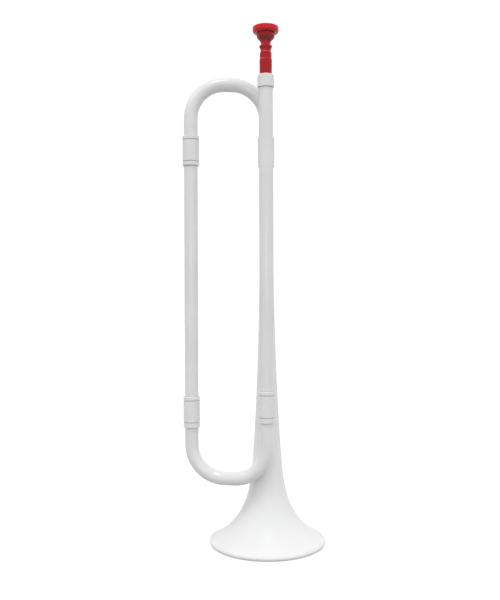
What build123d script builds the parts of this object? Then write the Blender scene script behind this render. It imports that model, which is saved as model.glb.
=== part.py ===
from build123d import *

import os

# Valveless signal bugle in moulded plastic, one long loop of tube, standing on its bell.
# Millimetres. The origin is the centre of the bell's mouth, on the plane it stands on.
# +Z runs up the bell's axis, the leadpipe is on the -Y side and the middle tube on the -X side.
# The air goes down the leadpipe, round the lower bow, up the middle tube, round the upper bow
# and down the bell.

# ---- the air column ----
BORE_RADIUS = 5.85              # the same from the receiver to the start of the bell's flare
LEADPIPE_RADIUS = 7.25          # outer radii of the tubes, in the order of the air column
LOWER_BOW_RADIUS = 7.1
MIDDLE_TUBE_RADIUS = 7.1
UPPER_BOW_RADIUS = 7.2
BELL_TUBE_RADIUS = 7.5

# ---- plan positions of the three upright tubes ----
BELL_AT = (0, 0)
LEADPIPE_AT = (-0.6, -24.5)
MIDDLE_TUBE_AT = (-78.8, -9)

# ---- heights ----
UPPER_COUPLINGS_Z = 395.3       # lower end of both upper couplings
LOWER_LEFT_COUPLING_Z = 123.7   # lower end of the coupling under the middle tube
LOWER_FRONT_COUPLING_Z = 130.7  # lower end of the coupling under the leadpipe
UPPER_BOW_CROWN_Z = 481         # axis of the upper bow's short level run
LOWER_BOW_CROWN_Z = 70.7        # axis of the lower bow's short level run

# ---- bends, measured on the tube's axis ----
UPPER_BEND_RADIUS = 36
LOWER_BEND_RADIUS = 34.5

# ---- couplings ----
COUPLING_LENGTH = 31.4
COUPLING_RADIUS = 8.7
RING_HEIGHT = 3.9               # each end ring
LOWER_BOW_RING_EXTRA = 1.2      # the two rings round the lower bow are this much taller
GROOVE_WIDTH = 0.9              # the groove between an end ring and the sleeve
GROOVE_DEPTH = 0.7
STOP_THICKNESS = 1.6            # rib inside the sleeve that the tubes' ends meet
FIT_GAP = 0.05                  # radial clearance of a tube in its coupling
SLIDE_END_GAP = 0.3             # the sliding bow's ends stay this far from the ribs
RING_EDGE = 0.6                 # chamfer on a ring's outer end
SOFT_EDGE = 0.35                # chamfer beside the grooves

# ---- seals, one in a pocket of each end ring ----
SEAL_SECTION_RADIUS = 0.3
SEAL_GAP = 0.03                 # from the tube
SEAL_POCKET_DEPTH = 0.65
SEAL_POCKET_HEIGHT = 0.8

# ---- bell ----
FLARE_TOP_Z = 285               # the tube is straight above this height
FLARE_STATIONS = [              # outer radius and height, from the rim up to the straight tube
    (59.0, 3.0),
    (50.3, 9.0),
    (41.8, 16.0),
    (32.8, 26.0),
    (24.8, 40.0),
    (18.7, 60.0),
    (15.2, 90.0),
    (12.5, 130.0),
    (10.1, 180.0),
    (8.4, 230.0),
]
FLARE_WALL_POINTS = 14          # points that the inner surface is drawn through
FLARE_WALL_SPREAD = 1.6         # over 1, they lie closer together near the rim
BEAD_RADIUS = 2.3               # rolled bead at the rim
BEAD_CENTRE = (58.7, 2.1)       # radius and height, cut off flat at the floor

# ---- mouthpiece receiver ----
COLLAR_RADIUS = 8.6
COLLAR_BOTTOM_Z = 473
COLLAR_TOP_Z = 486
COLLAR_CHAMFER = 1.0
LEADPIPE_TOP_Z = 479.5          # glued into the collar up to here
RECEIVER_DEPTH = 18             # wider bore at the leadpipe's top, round the shank
RECEIVER_RADIUS = 6.4

# ---- mouthpiece: radius, and height above the collar's top ----
SHANK_TIP = (5.3, -22)
SHANK_SEAT = (6.35, 0)          # where the taper leaves the collar
SHANK_TOP = (6.5, 15.0)
UPPER_SHANK_FOOT = (6.1, 16.6)
UPPER_SHANK_HEAD = (6.1, 22.3)
LOWER_NECK = (5.35, 24.5)
BEAD_CREST = (6.65, 28.7)
BEAD_LAND = (6.45, 0.8)         # radius of the bead's corners, and their height from its crest
UPPER_NECK = (5.2, 33.1)
CUP_BOWL = [(6.5, 35.3), (8.4, 37.2), (9.2, 39.6)]
RIM_BACK_INNER = (9.3, 42.4)
RIM_BACK_OUTER = [(11.2, 42.4), (12.8, 43.4), (13.4, 45.0)]
RIM_FACE = [(13.45, 47.6), (13.1, 48.7), (12.0, 49.2), (10.4, 49.4), (8.3, 48.1)]
CUP_INSIDE = [(8.3, 48.1), (7.5, 44.2), (5.4, 39.5), (1.9, 34)]
THROAT_FOOT = (1.9, 28)
BACKBORE_TIP = (4.3, -22)
SHANK_FIT_GAP = 0.05            # radial clearance of the shank in the collar

# ---- braces between the front tube and the bell ----
BRACE_WIDTH = 8
UPPER_BRACE_Z = (405, 421)
LOWER_BRACE_Z = (139, 155)
BRACE_SEAT_GAP = 0.03           # glue line


def tube(radius, at, bottom, top, bore=BORE_RADIUS):
    """Upright tube between two heights."""
    outside = Cylinder(radius, top - bottom, align=(Align.CENTER, Align.CENTER, Align.MIN))
    inside = Cylinder(bore, top - bottom, align=(Align.CENTER, Align.CENTER, Align.MIN))
    return Pos(at[0], at[1], bottom) * (outside - inside)


def turned(edges, at=(0, 0)):
    """Solid of revolution about an upright axis, from edges in the XZ plane."""
    return Pos(at[0], at[1], 0) * revolve(make_face(edges), Axis.Z)


def section(points):
    """(radius, height) pairs as points of the XZ plane."""
    return [(radius, 0, height) for radius, height in points]


def coupling_middle(bottom):
    return bottom + COUPLING_LENGTH / 2


def end_below_stop(bottom):
    """Height at which a tube that comes from below ends."""
    return coupling_middle(bottom) - STOP_THICKNESS / 2


def end_above_stop(bottom):
    """Height at which a tube that comes from above ends."""
    return coupling_middle(bottom) + STOP_THICKNESS / 2


# ---- couplings ----
def coupling_sleeve(at, bottom, lower_radius, upper_radius):
    """Sleeve with a stop rib inside and a thinner neck at each end, which makes the grooves."""
    low = bottom + RING_HEIGHT
    high = bottom + COUPLING_LENGTH - RING_HEIGHT
    neck = COUPLING_RADIUS - GROOVE_DEPTH
    profile = section([
        (lower_radius + FIT_GAP, low),
        (neck, low),
        (neck, low + GROOVE_WIDTH),
        (COUPLING_RADIUS - SOFT_EDGE, low + GROOVE_WIDTH),
        (COUPLING_RADIUS, low + GROOVE_WIDTH + SOFT_EDGE),
        (COUPLING_RADIUS, high - GROOVE_WIDTH - SOFT_EDGE),
        (COUPLING_RADIUS - SOFT_EDGE, high - GROOVE_WIDTH),
        (neck, high - GROOVE_WIDTH),
        (neck, high),
        (upper_radius + FIT_GAP, high),
        (upper_radius + FIT_GAP, end_above_stop(bottom)),
        (BORE_RADIUS, end_above_stop(bottom)),
        (BORE_RADIUS, end_below_stop(bottom)),
        (lower_radius + FIT_GAP, end_below_stop(bottom)),
    ])
    return turned(Polyline(profile, close=True), at)


def end_ring(at, outer_end, inward, tube_radius, tall=RING_HEIGHT):
    """Ring round a tube at a coupling's end. It runs from outer_end, towards inward, +1 or -1."""
    def height(distance):
        return outer_end + inward * distance

    inner = tube_radius + FIT_GAP
    pocket = inner + SEAL_POCKET_DEPTH
    profile = section([
        (inner + RING_EDGE / 2, height(0)),
        (COUPLING_RADIUS - RING_EDGE, height(0)),
        (COUPLING_RADIUS, height(RING_EDGE)),
        (COUPLING_RADIUS, height(tall - SOFT_EDGE)),
        (COUPLING_RADIUS - SOFT_EDGE, height(tall)),
        (pocket, height(tall)),
        (pocket, height(tall - SEAL_POCKET_HEIGHT)),
        (inner, height(tall - SEAL_POCKET_HEIGHT)),
        (inner, height(RING_EDGE / 2)),
    ])
    return turned(Polyline(profile, close=True), at)


def seal(at, outer_end, inward, tube_radius):
    """Round-section rubber ring in an end ring's pocket."""
    height = outer_end + inward * (RING_HEIGHT - SEAL_POCKET_HEIGHT / 2)
    middle_radius = tube_radius + SEAL_GAP + SEAL_SECTION_RADIUS
    return Pos(at[0], at[1], height) * Torus(middle_radius, SEAL_SECTION_RADIUS)


def coupling(name, at, bottom, lower_radius, upper_radius, extra=0):
    """The five pieces of one coupling, by node name. Its bottom ring can be made taller, downward."""
    top = bottom + COUPLING_LENGTH
    return {
        f"{name}_sleeve": coupling_sleeve(at, bottom, lower_radius, upper_radius),
        f"{name}_bottom_ring": end_ring(at, bottom - extra, 1, lower_radius, RING_HEIGHT + extra),
        f"{name}_top_ring": end_ring(at, top, -1, upper_radius),
        f"{name}_bottom_seal": seal(at, bottom, 1, lower_radius),
        f"{name}_top_seal": seal(at, top, -1, upper_radius),
    }


# ---- bows ----
def bow(start, start_z, end, end_z, crown_z, bend_radius, radius):
    """U tube: a leg at each end, two quarter bends and a short level run between them."""
    path = FilletPolyline(
        (start[0], start[1], start_z),
        (start[0], start[1], crown_z),
        (end[0], end[1], crown_z),
        (end[0], end[1], end_z),
        radius=bend_radius,
    )
    first = Plane(origin=path @ 0, z_dir=path % 0)
    return sweep(first * (Circle(radius) - Circle(BORE_RADIUS)), path)


def upper_bow():
    """U tube from the middle tube over to the bell's tube."""
    foot = end_above_stop(UPPER_COUPLINGS_Z)
    return bow(
        MIDDLE_TUBE_AT, foot, BELL_AT, foot, UPPER_BOW_CROWN_Z, UPPER_BEND_RADIUS, UPPER_BOW_RADIUS
    )


def lower_bow():
    """U tube from the leadpipe under to the middle tube. It slides down out of its couplings."""
    left_head = end_below_stop(LOWER_LEFT_COUPLING_Z) - SLIDE_END_GAP
    right_head = end_below_stop(LOWER_FRONT_COUPLING_Z) - SLIDE_END_GAP
    return bow(
        MIDDLE_TUBE_AT, left_head, LEADPIPE_AT, right_head,
        LOWER_BOW_CROWN_Z, LOWER_BEND_RADIUS, LOWER_BOW_RADIUS,
    )


# ---- straight tubes ----
def middle_tube():
    bottom = end_above_stop(LOWER_LEFT_COUPLING_Z)
    return tube(MIDDLE_TUBE_RADIUS, MIDDLE_TUBE_AT, bottom, end_below_stop(UPPER_COUPLINGS_Z))


def leadpipe():
    """Front tube, with a wider bore at its top for the mouthpiece's shank."""
    bottom = end_above_stop(LOWER_FRONT_COUPLING_Z)
    receiver_bottom = LEADPIPE_TOP_Z - RECEIVER_DEPTH
    lower = tube(LEADPIPE_RADIUS, LEADPIPE_AT, bottom, receiver_bottom)
    upper = tube(
        LEADPIPE_RADIUS, LEADPIPE_AT, receiver_bottom, LEADPIPE_TOP_Z, RECEIVER_RADIUS
    )
    return lower + upper


# ---- bell ----
def flare_curve():
    """Outer surface of the flare in section, from the rim up."""
    return Spline(section(FLARE_STATIONS + [(BELL_TUBE_RADIUS, FLARE_TOP_Z)]))


def flare_inner_curve(outer):
    """The same surface moved in by the wall's thickness, up to the bore of the straight tube."""
    wall = BELL_TUBE_RADIUS - BORE_RADIUS
    points = []
    for step in range(FLARE_WALL_POINTS):
        share = (step / FLARE_WALL_POINTS) ** FLARE_WALL_SPREAD
        along = outer % share
        inward = Vector(-along.Z, 0, along.X)
        points.append(outer @ share + inward * wall)
    return Spline(points + section([(BORE_RADIUS, FLARE_TOP_Z)]))


def bell():
    """Long tube that opens into the flare, with a rolled bead round its rim."""
    top = end_below_stop(UPPER_COUPLINGS_Z)
    outer = flare_curve()
    inner = flare_inner_curve(outer)
    outer_tube = Line(outer @ 1, (BELL_TUBE_RADIUS, 0, top))
    inner_tube = Line(inner @ 1, (BORE_RADIUS, 0, top))
    wall = make_face([
        outer,
        outer_tube,
        Line(outer_tube @ 1, inner_tube @ 1),
        inner_tube,
        inner,
        Line(inner @ 0, outer @ 0),
    ])
    bead_disc = Plane.XZ * Pos(*BEAD_CENTRE) * Circle(BEAD_RADIUS)
    below_floor = Plane.XZ * Pos(BEAD_CENTRE[0], -BEAD_RADIUS) * Rectangle(
        4 * BEAD_RADIUS, 2 * BEAD_RADIUS
    )
    return revolve(wall + (bead_disc - below_floor), Axis.Z)


# ---- mouthpiece and its receiver ----
def shank_radius(height):
    """Outer radius of the tapered shank at a height inside the collar or the leadpipe."""
    (tip_radius, tip_height), (seat_radius, seat_height) = SHANK_TIP, SHANK_SEAT
    share = (height - COLLAR_TOP_Z - tip_height) / (seat_height - tip_height)
    return tip_radius + share * (seat_radius - tip_radius)


def receiver_collar():
    """Thick ring on the leadpipe's top, bored to the shank's taper."""
    socket = LEADPIPE_RADIUS + FIT_GAP
    profile = section([
        (socket, COLLAR_BOTTOM_Z),
        (COLLAR_RADIUS - SOFT_EDGE, COLLAR_BOTTOM_Z),
        (COLLAR_RADIUS, COLLAR_BOTTOM_Z + SOFT_EDGE),
        (COLLAR_RADIUS, COLLAR_TOP_Z - COLLAR_CHAMFER),
        (COLLAR_RADIUS - COLLAR_CHAMFER, COLLAR_TOP_Z),
        (shank_radius(COLLAR_TOP_Z) + SHANK_FIT_GAP, COLLAR_TOP_Z),
        (shank_radius(LEADPIPE_TOP_Z) + SHANK_FIT_GAP, LEADPIPE_TOP_Z),
        (socket, LEADPIPE_TOP_Z),
    ])
    return turned(Polyline(profile, close=True), LEADPIPE_AT)


def above_collar(*stations):
    """Stations of the mouthpiece's outline, as points of the XZ plane."""
    return section([(radius, height + COLLAR_TOP_Z) for radius, height in stations])


def mouthpiece():
    """Tapered shank, two necks with a bead between, cup and thick rim, bored right through."""
    crest_radius, crest_height = BEAD_CREST
    corner_radius, corner_rise = BEAD_LAND
    bead_low = (corner_radius, crest_height - corner_rise)
    bead_high = (corner_radius, crest_height + corner_rise)
    outline = [
        Polyline(above_collar(BACKBORE_TIP, SHANK_TIP, SHANK_SEAT, SHANK_TOP, UPPER_SHANK_FOOT)),
        Line(*above_collar(UPPER_SHANK_FOOT, UPPER_SHANK_HEAD)),
        Spline(above_collar(UPPER_SHANK_HEAD, LOWER_NECK, bead_low)),
        ThreePointArc(*above_collar(bead_low, BEAD_CREST, bead_high)),
        Spline(above_collar(bead_high, UPPER_NECK, *CUP_BOWL)),
        Polyline(above_collar(CUP_BOWL[-1], RIM_BACK_INNER, RIM_BACK_OUTER[0])),
        ThreePointArc(*above_collar(*RIM_BACK_OUTER)),
        Line(*above_collar(RIM_BACK_OUTER[-1], RIM_FACE[0])),
        Spline(above_collar(*RIM_FACE)),
        Spline(above_collar(*CUP_INSIDE)),
        Polyline(above_collar(CUP_INSIDE[-1], THROAT_FOOT, BACKBORE_TIP)),
    ]
    return turned(outline, LEADPIPE_AT)


# ---- braces ----
def brace(heights, front, back):
    """Short block between the front tube and the bell's side, hollowed to sit on both."""
    depth = BELL_AT[1] - LEADPIPE_AT[1]
    size = heights[1] - heights[0]
    middle_x = (BELL_AT[0] + LEADPIPE_AT[0]) / 2
    middle_y = LEADPIPE_AT[1] + depth / 2
    block = Pos(middle_x, middle_y, heights[0] + size / 2) * Box(BRACE_WIDTH, depth, size)
    return block - front - back


def solid_post(radius, at):
    """Full-height post, used to hollow a brace."""
    return Pos(at[0], at[1], 0) * Cylinder(
        radius, COLLAR_TOP_Z, align=(Align.CENTER, Align.CENTER, Align.MIN)
    )


def upper_brace():
    """Between the leadpipe and the sleeve of the upper rear coupling."""
    front = solid_post(LEADPIPE_RADIUS + BRACE_SEAT_GAP, LEADPIPE_AT)
    back = solid_post(COUPLING_RADIUS + BRACE_SEAT_GAP, BELL_AT)
    return brace(UPPER_BRACE_Z, front, back)


def lower_brace():
    """Between the sleeve of the lower front coupling and the bell."""
    front = solid_post(COUPLING_RADIUS + BRACE_SEAT_GAP, LEADPIPE_AT)
    outer = flare_curve()
    axis_foot = (0, 0, (outer @ 0).Z)
    axis_head = (0, 0, FLARE_TOP_Z)
    half_section = make_face([
        outer,
        Line(outer @ 1, axis_head),
        Line(axis_head, axis_foot),
        Line(axis_foot, outer @ 0),
    ])
    back = Pos(0, -BRACE_SEAT_GAP, 0) * revolve(half_section, Axis.Z)
    return brace(LOWER_BRACE_Z, front, back)


def build():
    """Every piece of the bugle, by node name."""
    pieces = {
        "mouthpiece": mouthpiece(),
        "receiver_collar": receiver_collar(),
        "leadpipe": leadpipe(),
        "lower_bow": lower_bow(),
        "middle_tube": middle_tube(),
        "upper_bow": upper_bow(),
        "bell": bell(),
        "upper_brace": upper_brace(),
        "lower_brace": lower_brace(),
    }
    couplings = {
        "lower_front": (LEADPIPE_AT, LOWER_FRONT_COUPLING_Z, LOWER_BOW_RADIUS, LEADPIPE_RADIUS,
                        LOWER_BOW_RING_EXTRA),
        "lower_left": (MIDDLE_TUBE_AT, LOWER_LEFT_COUPLING_Z, LOWER_BOW_RADIUS, MIDDLE_TUBE_RADIUS,
                       LOWER_BOW_RING_EXTRA),
        "upper_left": (MIDDLE_TUBE_AT, UPPER_COUPLINGS_Z, MIDDLE_TUBE_RADIUS, UPPER_BOW_RADIUS),
        "upper_rear": (BELL_AT, UPPER_COUPLINGS_Z, BELL_TUBE_RADIUS, UPPER_BOW_RADIUS),
    }
    for name, sizes in couplings.items():
        pieces.update(coupling(name, *sizes))
    return pieces


def main():
    os.makedirs("parts", exist_ok=True)
    for name, shape in build().items():
        shape.label = name
        export_step(shape, f"parts/{name}.step")


main()
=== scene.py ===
"""Looks of the valveless plastic bugle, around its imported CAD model. Metres, in the CAD's own frame."""

import math

import bpy
from mathutils import Matrix, Vector

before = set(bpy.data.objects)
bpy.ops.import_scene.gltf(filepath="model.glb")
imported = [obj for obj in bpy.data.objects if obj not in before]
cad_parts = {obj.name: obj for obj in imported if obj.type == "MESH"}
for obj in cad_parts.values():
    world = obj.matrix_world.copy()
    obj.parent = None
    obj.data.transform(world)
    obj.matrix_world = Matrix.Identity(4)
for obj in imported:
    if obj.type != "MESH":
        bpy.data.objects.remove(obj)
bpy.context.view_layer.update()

# ---- camera, which stands in front of the bugle at about its middle height ----
CAMERA_AT = (-0.0175, -0.798, 0.2667)
CAMERA_ROLL_DEG = 0.2
CAMERA_LENS = 45.3              # mm, on a 36 mm sensor
CAMERA_SHIFT_Y = -0.0183

# ---- light ----
SKY_TOP = 0.75                  # brightness overhead
SKY_SIDE = 1.11                 # from the horizon up
SKY_UNDER = 0.12                # just below the horizon
SKY_BOTTOM = 0.80               # and straight below
SKY_BEHIND = 0.88               # share of that brightness that is left behind the object
SKY_LEFT = 0.80                 # and on its left
TOP_BAND = (0.55, 0.85)         # heights of the direction over which the side's light turns to the top's
UNDER_BAND = (-0.25, 0.02)      # and to the light just below the horizon
BOTTOM_BAND = (-0.95, -0.60)
BEHIND_BAND = (-0.4, 0.7)       # directions along Y
LEFT_BAND = (-0.9, 0.0)         # and along X
BACKDROP = 1.06                 # what the camera sees past the floor
KEY_AT = (-0.10, -0.95, 2.75)   # high softbox in front, whose reflection runs along every crown
KEY_SIZE = (0.65, 1.00)
KEY_POWER = 14.5
LEFT_AT = (-1.00, -0.45, 1.45)  # and a fill softbox on the upper left
LEFT_SIZE = (0.7, 0.7)
LEFT_POWER = 2.4
FRONT_AT = (0.0, -1.20, 0.35)   # and a small one behind the camera, a little above it
FRONT_SIZE = (0.13, 0.13)
FRONT_POWER = 0.55
MIDDLE = (0.0, 0.0, 0.27)       # the softboxes face this point

# ---- floor ----
FLOOR_RADIUS = 6.0
FLOOR_DROP = 0.0002             # below the plane that the bell stands on
FLOOR_SIDES = 96
FLOOR_GLOW = 0.25               # keeps the paper white out to its edge

# ---- materials ----
WHITE_TONES = ((0.800, 0.803, 0.806), (0.845, 0.847, 0.848))
# painted shade in the gaps of the white plastic
WHITE_GAP_SHADE = (0.330, 0.330, 0.335)
BELL_TONES = ((0.850, 0.853, 0.856), (0.885, 0.887, 0.888))
# painted shade in the gaps of the bell
BELL_GAP_SHADE = (0.600, 0.600, 0.605)
RED_TONES = ((0.400, 0.0030, 0.0070), (0.455, 0.0040, 0.0090))
# painted shade in the gaps of the red plastic
RED_GAP_SHADE = (0.140, 0.0015, 0.0030)
PAINTED_GLOW_RED = (0.780, 0.0060, 0.0140)       # painted glow: the lit red of the rim and of slopes that face up
PAINTED_SHADE_RED = (0.270, 0.0022, 0.0045)      # painted shade: the deep red of the undersides
PAINTED_RIM_FROM, PAINTED_RIM_TO = 0.5265, 0.5310       # heights over which the mouthpiece turns to the painted glow of its rim
RUBBER_TONES = ((0.012, 0.012, 0.013), (0.03, 0.03, 0.032))
PAPER_TONES = ((0.93, 0.93, 0.93), (0.97, 0.97, 0.97))
GAP_SHADE_REACH = 0.0013                    # width of a gap that gets painted shade
GAP_RANGE = (0.30, 0.88)                # openness from which the painted shade thins out, and where it ends
GAP_SAMPLES = 8
EDGE_RANGE = (0.505, 0.56)              # pointiness of an unworn and of a fully worn edge
EDGE_POLISH = 0.06                      # roughness that wear takes off
DRIFT_SCALE, CLOUD_SCALE = 22.0, 160.0  # broad and fine colour variation
CLOUD_SHARE = 0.25                      # of the fine one
SCUFF_SCALE = 420.0
SINK_SCALE, SINK_DEPTH, SINK_STRENGTH = 60.0, 0.0004, 0.05
SKIN_SCALE, SKIN_DEPTH = 1500.0, 0.00006
PLASTIC_IOR = 1.5
RED_SPECULAR = 0.25                     # weaker reflections than the white plastic's
GLOW_WEIGHT, GLOW_DEPTH = 0.04, 0.0012  # subsurface light
GLOW_RADIUS = (1.0, 0.85, 0.75)
PAINTED_LIGHT_SLOPES = (0.03, 0.33)               # upward slopes that get painted light
PAINTED_SHADE_SLOPES = (-0.65, -0.10)            # downward slopes that get painted shade


# ---- node helpers ----
def new_material(name):
    """A material whose tree holds only a Principled BSDF and its output."""
    material = bpy.data.materials.new(name)
    material.use_nodes = True
    tree = material.node_tree
    tree.nodes.clear()
    shader = tree.nodes.new("ShaderNodeBsdfPrincipled")
    output = tree.nodes.new("ShaderNodeOutputMaterial")
    tree.links.new(shader.outputs["BSDF"], output.inputs["Surface"])
    return material, tree, shader


def noise(tree, vector, scale, detail=3.0, roughness=0.5, seed=0.0):
    """Noise between 0 and 1. The seed moves the pattern, so that no two parts match."""
    node = tree.nodes.new("ShaderNodeTexNoise")
    node.noise_dimensions = "4D"
    node.inputs["Scale"].default_value = scale
    node.inputs["Detail"].default_value = detail
    node.inputs["Roughness"].default_value = roughness
    node.inputs["W"].default_value = seed
    tree.links.new(vector, node.inputs["Vector"])
    return node.outputs["Fac"]


def spread(tree, value, low, high, to_low, to_high):
    """Maps low..high of a value to to_low..to_high, and holds it there."""
    node = tree.nodes.new("ShaderNodeMapRange")
    node.clamp = True
    for name, number in (("From Min", low), ("From Max", high), ("To Min", to_low), ("To Max", to_high)):
        node.inputs[name].default_value = number
    tree.links.new(value, node.inputs["Value"])
    return node.outputs["Result"]


def combine(tree, operation, a, b):
    """One maths step between two values, either of which may be a plain number."""
    node = tree.nodes.new("ShaderNodeMath")
    node.operation = operation
    for socket, value in zip(node.inputs, (a, b)):
        if isinstance(value, (int, float)):
            socket.default_value = value
        else:
            tree.links.new(value, socket)
    return node.outputs[0]


def two_tone(tree, value, tones):
    """Goes from the first tone to the second as a value goes from 0 to 1. A tone may be a socket."""
    node = tree.nodes.new("ShaderNodeMix")
    node.data_type = "RGBA"
    tree.links.new(value, node.inputs["Factor"])
    colours = [socket for socket in node.inputs if socket.type == "RGBA"]
    for socket, tone in zip(colours, tones):
        if isinstance(tone, tuple):
            socket.default_value = (*tone, 1)
        else:
            tree.links.new(tone, socket)
    return next(socket for socket in node.outputs if socket.type == "RGBA")


def bump(tree, height, distance, strength, under=None):
    """Bump from a height value, on top of another bump where one is given."""
    node = tree.nodes.new("ShaderNodeBump")
    node.inputs["Distance"].default_value = distance
    node.inputs["Strength"].default_value = strength
    tree.links.new(height, node.inputs["Height"])
    if under is not None:
        tree.links.new(under, node.inputs["Normal"])
    return node.outputs["Normal"]


def edge_wear(tree):
    """1 on sharp outer edges, 0 elsewhere."""
    geometry = tree.nodes.new("ShaderNodeNewGeometry")
    return spread(tree, geometry.outputs["Pointiness"], *EDGE_RANGE, 0.0, 1.0)


def open_surface(tree):
    """1 on open surfaces, falling to 0 deep in a groove or a narrow gap: the mask of the painted shade."""
    node = tree.nodes.new("ShaderNodeAmbientOcclusion")
    node.samples = GAP_SAMPLES
    node.inputs["Distance"].default_value = GAP_SHADE_REACH
    return spread(tree, node.outputs["AO"], *GAP_RANGE, 0.0, 1.0)


def paint_glow_and_shade(tree, coordinates, colour):
    """Painted light and shade on the red plastic, by colour alone: a painted glow in the rim, painted light
    on slopes that face up and painted shade on the undersides. It follows the object's own axes, so it turns
    with the piece."""
    axes = tree.nodes.new("ShaderNodeSeparateXYZ")
    tree.links.new(coordinates, axes.inputs["Vector"])
    slope = tree.nodes.new("ShaderNodeSeparateXYZ")
    tree.links.new(coordinates.node.outputs["Normal"], slope.inputs["Vector"])
    colour = two_tone(tree, spread(tree, slope.outputs["Z"], *PAINTED_LIGHT_SLOPES, 0.0, 1.0), (colour, PAINTED_GLOW_RED))
    colour = two_tone(tree, spread(tree, slope.outputs["Z"], *PAINTED_SHADE_SLOPES, 0.0, 1.0), (PAINTED_SHADE_RED, colour))
    return two_tone(tree, spread(tree, axes.outputs["Z"], PAINTED_RIM_FROM, PAINTED_RIM_TO, 0.0, 1.0), (colour, PAINTED_GLOW_RED))


def plastic(name, tones, gap_shade, roughness, grain, seed, painted_light=False):
    """Moulded plastic: soft colour drift, painted shade in its gaps, polished edges, sink marks and a fine
    grain, and painted glow and shade on the red plastic where asked.
    """
    material, tree, shader = new_material(name)
    coordinates = tree.nodes.new("ShaderNodeTexCoord").outputs["Object"]
    drift = noise(tree, coordinates, DRIFT_SCALE, detail=3.0, seed=seed)
    cloud = noise(tree, coordinates, CLOUD_SCALE, detail=4.0, seed=seed + 3)
    broad = combine(tree, "MULTIPLY", drift, 1 - CLOUD_SHARE)
    mixed = combine(tree, "ADD", broad, combine(tree, "MULTIPLY", cloud, CLOUD_SHARE))
    colour = two_tone(tree, spread(tree, mixed, 0.36, 0.64, 0.0, 1.0), tones)
    # painted glow and painted shade of the red plastic, by colour
    if painted_light:
        colour = paint_glow_and_shade(tree, coordinates, colour)
    # painted shade in grooves and narrow gaps
    colour = two_tone(tree, open_surface(tree), (gap_shade, colour))
    tree.links.new(colour, shader.inputs["Base Color"])

    scuffs = noise(tree, coordinates, SCUFF_SCALE, detail=5.0, roughness=0.65, seed=seed + 7)
    rough = spread(tree, scuffs, 0.35, 0.7, roughness[0], roughness[1])
    rough = combine(tree, "SUBTRACT", rough, combine(tree, "MULTIPLY", edge_wear(tree), EDGE_POLISH))
    tree.links.new(rough, shader.inputs["Roughness"])

    hollows = noise(tree, coordinates, SINK_SCALE, detail=1.0, seed=seed + 11)
    sinks = bump(tree, hollows, SINK_DEPTH, SINK_STRENGTH)
    skin = noise(tree, coordinates, SKIN_SCALE, detail=2.0, seed=seed + 17)
    tree.links.new(bump(tree, skin, SKIN_DEPTH, grain, under=sinks), shader.inputs["Normal"])

    shader.inputs["IOR"].default_value = PLASTIC_IOR
    shader.inputs["Subsurface Weight"].default_value = GLOW_WEIGHT
    shader.inputs["Subsurface Radius"].default_value = GLOW_RADIUS
    shader.inputs["Subsurface Scale"].default_value = GLOW_DEPTH
    return material


def rubber(name):
    """Black seal rubber with a matt, slightly dusty skin."""
    material, tree, shader = new_material(name)
    coordinates = tree.nodes.new("ShaderNodeTexCoord").outputs["Object"]
    dust = noise(tree, coordinates, 700.0, detail=4.0, seed=5.0)
    colour = two_tone(tree, spread(tree, dust, 0.4, 0.7, 0, 1), RUBBER_TONES)
    tree.links.new(colour, shader.inputs["Base Color"])
    tree.links.new(spread(tree, dust, 0.3, 0.7, 0.55, 0.8), shader.inputs["Roughness"])
    tree.links.new(bump(tree, dust, 0.00005, 0.4), shader.inputs["Normal"])
    return material


def paint(node, material):
    """Gives a CAD node a material in all of its slots."""
    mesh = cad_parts[node].data
    for index in range(len(mesh.materials)):
        mesh.materials[index] = material


# ---- the object's surfaces ----
TUBES = ("leadpipe", "middle_tube")
BOWS = ("upper_bow", "lower_bow")
BELL = ("bell",)
MOUTHPIECE = ("mouthpiece",)

tube_white = plastic("white_tube", WHITE_TONES, WHITE_GAP_SHADE, (0.20, 0.30), 0.25, seed=1.0)
bow_white = plastic("white_bow", WHITE_TONES, WHITE_GAP_SHADE, (0.14, 0.21), 0.15, seed=21.0)
bell_white = plastic("white_bell", BELL_TONES, BELL_GAP_SHADE, (0.36, 0.46), 0.15, seed=41.0)
joint_white = plastic("white_coupling", WHITE_TONES, WHITE_GAP_SHADE, (0.28, 0.42), 0.7, seed=61.0)
# the mouthpiece gets a painted glow in its rim, painted light on upward slopes and painted shade beneath
mouth_red = plastic("red_mouthpiece", RED_TONES, RED_GAP_SHADE, (0.06, 0.10), 0.02, seed=81.0, painted_light=True)
mouth_red.node_tree.nodes["Principled BSDF"].inputs["Specular IOR Level"].default_value = RED_SPECULAR
seal_black = rubber("black_seal")

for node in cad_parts:
    if node in TUBES:
        paint(node, tube_white)
    elif node in BOWS:
        paint(node, bow_white)
    elif node in BELL:
        paint(node, bell_white)
    elif node in MOUTHPIECE:
        paint(node, mouth_red)
    elif node.endswith("_seal"):
        paint(node, seal_black)
    else:
        paint(node, joint_white)


# ---- floor ----
def make_floor():
    """Wide pale disc under the bugle."""
    mesh = bpy.data.meshes.new("floor")
    rim = []
    for step in range(FLOOR_SIDES):
        angle = 2 * math.pi * step / FLOOR_SIDES
        rim.append((FLOOR_RADIUS * math.cos(angle), FLOOR_RADIUS * math.sin(angle), -FLOOR_DROP))
    mesh.from_pydata(rim, [], [tuple(range(FLOOR_SIDES))])
    material, tree, shader = new_material("floor_paper")
    coordinates = tree.nodes.new("ShaderNodeTexCoord").outputs["Object"]
    fibres = noise(tree, coordinates, 900.0, detail=3.0, seed=2.0)
    tree.links.new(two_tone(tree, fibres, PAPER_TONES), shader.inputs["Base Color"])
    tree.links.new(spread(tree, fibres, 0.3, 0.7, 0.85, 0.95), shader.inputs["Roughness"])
    shader.inputs["Specular IOR Level"].default_value = 0.1
    shader.inputs["Emission Color"].default_value = (1, 1, 1, 1)
    shader.inputs["Emission Strength"].default_value = FLOOR_GLOW
    mesh.materials.append(material)
    floor = bpy.data.objects.new("floor", mesh)
    bpy.context.scene.collection.objects.link(floor)
    floor.visible_diffuse = False


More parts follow.
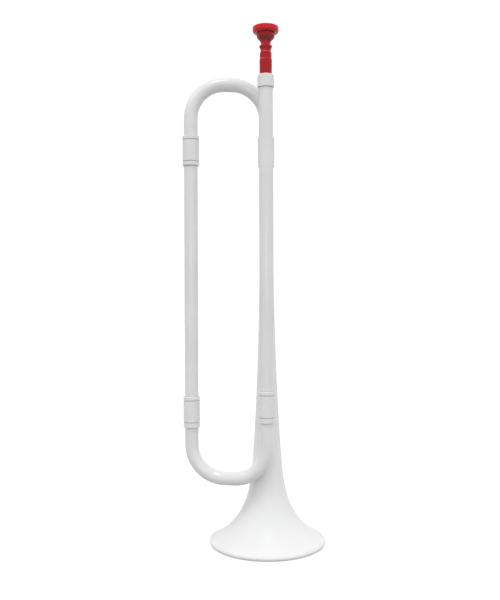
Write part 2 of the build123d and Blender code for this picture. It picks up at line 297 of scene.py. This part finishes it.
# ---- light ----
def make_sky():
    """Soft light from all round, dimmest just below the horizon, with a plain backdrop."""
    world = bpy.data.worlds.new("studio")
    world.use_nodes = True
    tree = world.node_tree
    tree.nodes.clear()
    direction = tree.nodes.new("ShaderNodeTexCoord").outputs["Generated"]
    axes = tree.nodes.new("ShaderNodeSeparateXYZ")
    tree.links.new(direction, axes.inputs["Vector"])
    upper = spread(tree, axes.outputs["Z"], *TOP_BAND, SKY_SIDE, SKY_TOP)
    lower = spread(tree, axes.outputs["Z"], *UNDER_BAND, SKY_UNDER - SKY_SIDE, 0.0)
    bottom = spread(tree, axes.outputs["Z"], *BOTTOM_BAND, SKY_BOTTOM - SKY_UNDER, 0.0)
    behind = spread(tree, axes.outputs["Y"], *BEHIND_BAND, 1.0, SKY_BEHIND)
    left = spread(tree, axes.outputs["X"], *LEFT_BAND, SKY_LEFT, 1.0)
    height = combine(tree, "ADD", combine(tree, "ADD", upper, lower), bottom)
    brightness = combine(tree, "MULTIPLY", height, combine(tree, "MULTIPLY", behind, left))
    lit = tree.nodes.new("ShaderNodeBackground")
    tree.links.new(brightness, lit.inputs["Strength"])
    seen = tree.nodes.new("ShaderNodeBackground")
    seen.inputs["Strength"].default_value = BACKDROP
    for background in (lit, seen):
        background.inputs["Color"].default_value = (1, 1, 1, 1)
    mix = tree.nodes.new("ShaderNodeMixShader")
    tree.links.new(tree.nodes.new("ShaderNodeLightPath").outputs["Is Camera Ray"], mix.inputs["Fac"])
    tree.links.new(lit.outputs[0], mix.inputs[1])
    tree.links.new(seen.outputs[0], mix.inputs[2])
    output = tree.nodes.new("ShaderNodeOutputWorld")
    tree.links.new(mix.outputs[0], output.inputs["Surface"])
    bpy.context.scene.world = world


def softbox(name, at, size, power, target):
    """Rectangular light that faces a point."""
    light = bpy.data.lights.new(name, "AREA")
    light.shape = "RECTANGLE"
    light.size, light.size_y = size
    light.energy = power
    lamp = bpy.data.objects.new(name, light)
    lamp.location = at
    lamp.rotation_euler = (Vector(target) - Vector(at)).to_track_quat("-Z", "Y").to_euler()
    bpy.context.scene.collection.objects.link(lamp)


def make_camera():
    camera = bpy.data.cameras.new("camera")
    camera.lens = CAMERA_LENS
    camera.shift_y = CAMERA_SHIFT_Y
    camera.clip_start = 0.01
    camera.clip_end = 50
    body = bpy.data.objects.new("camera", camera)
    level = Matrix.Rotation(math.radians(90), 4, "X")
    roll = Matrix.Rotation(math.radians(CAMERA_ROLL_DEG), 4, "Y")
    body.matrix_world = Matrix.Translation(CAMERA_AT) @ roll @ level
    bpy.context.scene.collection.objects.link(body)
    bpy.context.scene.camera = body


make_floor()
make_sky()
softbox("key", KEY_AT, KEY_SIZE, KEY_POWER, MIDDLE)
softbox("left", LEFT_AT, LEFT_SIZE, LEFT_POWER, MIDDLE)
softbox("front", FRONT_AT, FRONT_SIZE, FRONT_POWER, MIDDLE)
make_camera()
bpy.context.scene.view_settings.view_transform = "Standard"
